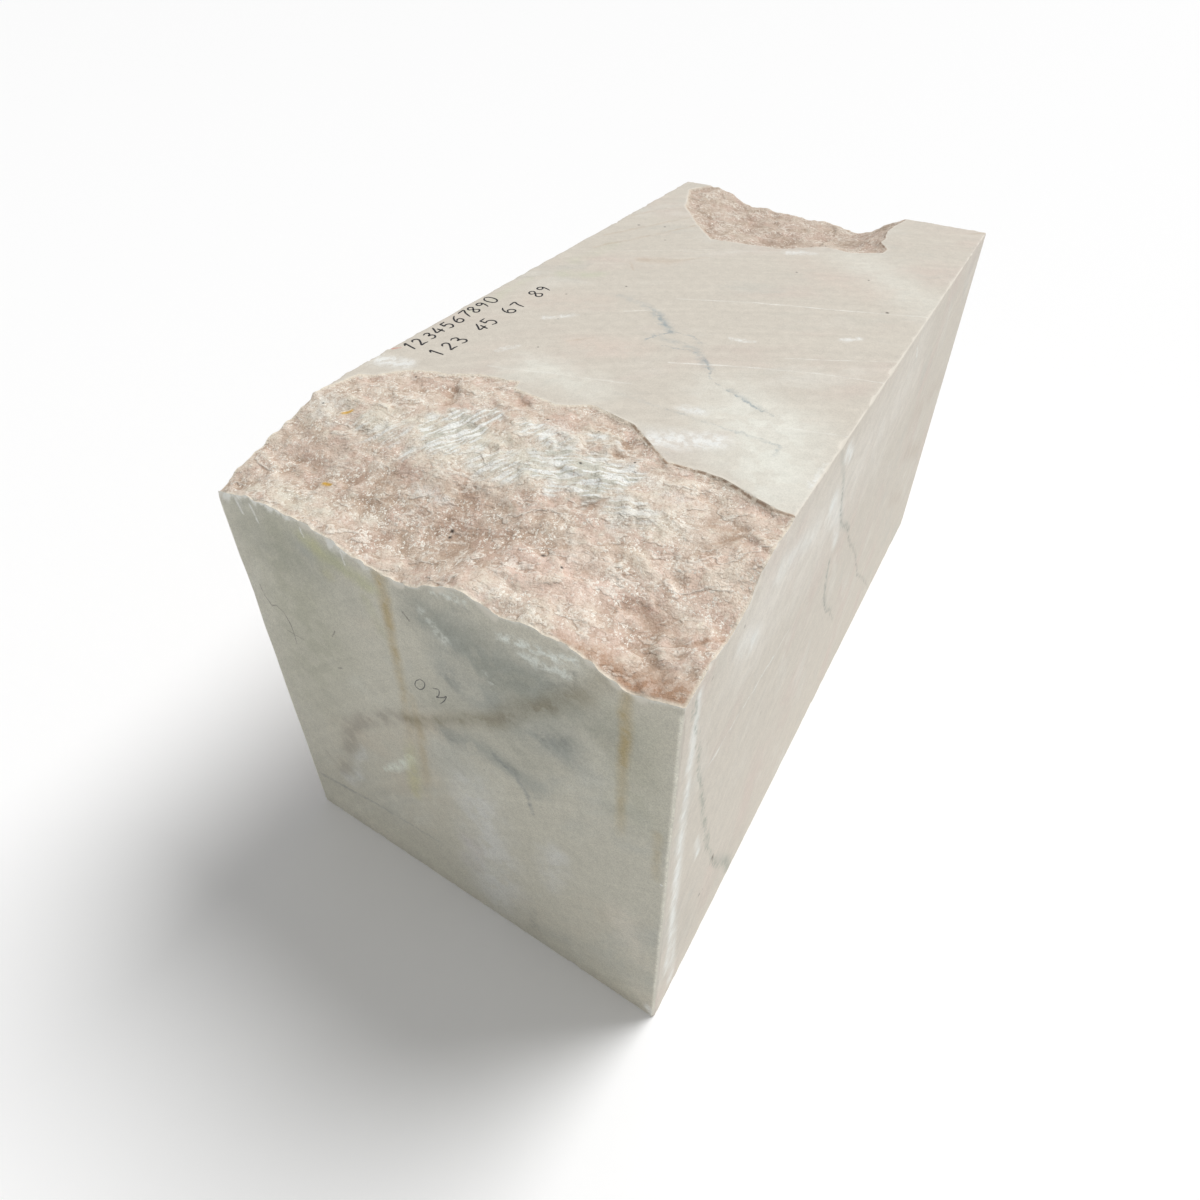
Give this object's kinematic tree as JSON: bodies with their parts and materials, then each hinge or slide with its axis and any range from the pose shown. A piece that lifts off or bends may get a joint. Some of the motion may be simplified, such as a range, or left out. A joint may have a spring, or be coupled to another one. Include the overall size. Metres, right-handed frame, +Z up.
{
  "type": "marble block",
  "caption": "Sawn rectangular block of pale veined marble, with a rough break along its front top edge and a bowl-shaped break at the back.",
  "frame": {"origin": "centre of the base, on the surface that the block stands on", "axes": "+Z up out of the sawn top, +Y along the block's length from the end with the long break to the end with the bowl-shaped break, +X across its width"},
  "size_m": [0.4064, 0.8128, 0.4572],
  "materials": {
    "marble": "sawn matt stone with a sugary broken surface on the two breaks"
  },
  "bodies": {
    "root": {"marble_block": "marble"}
  },
  "joints": []
}
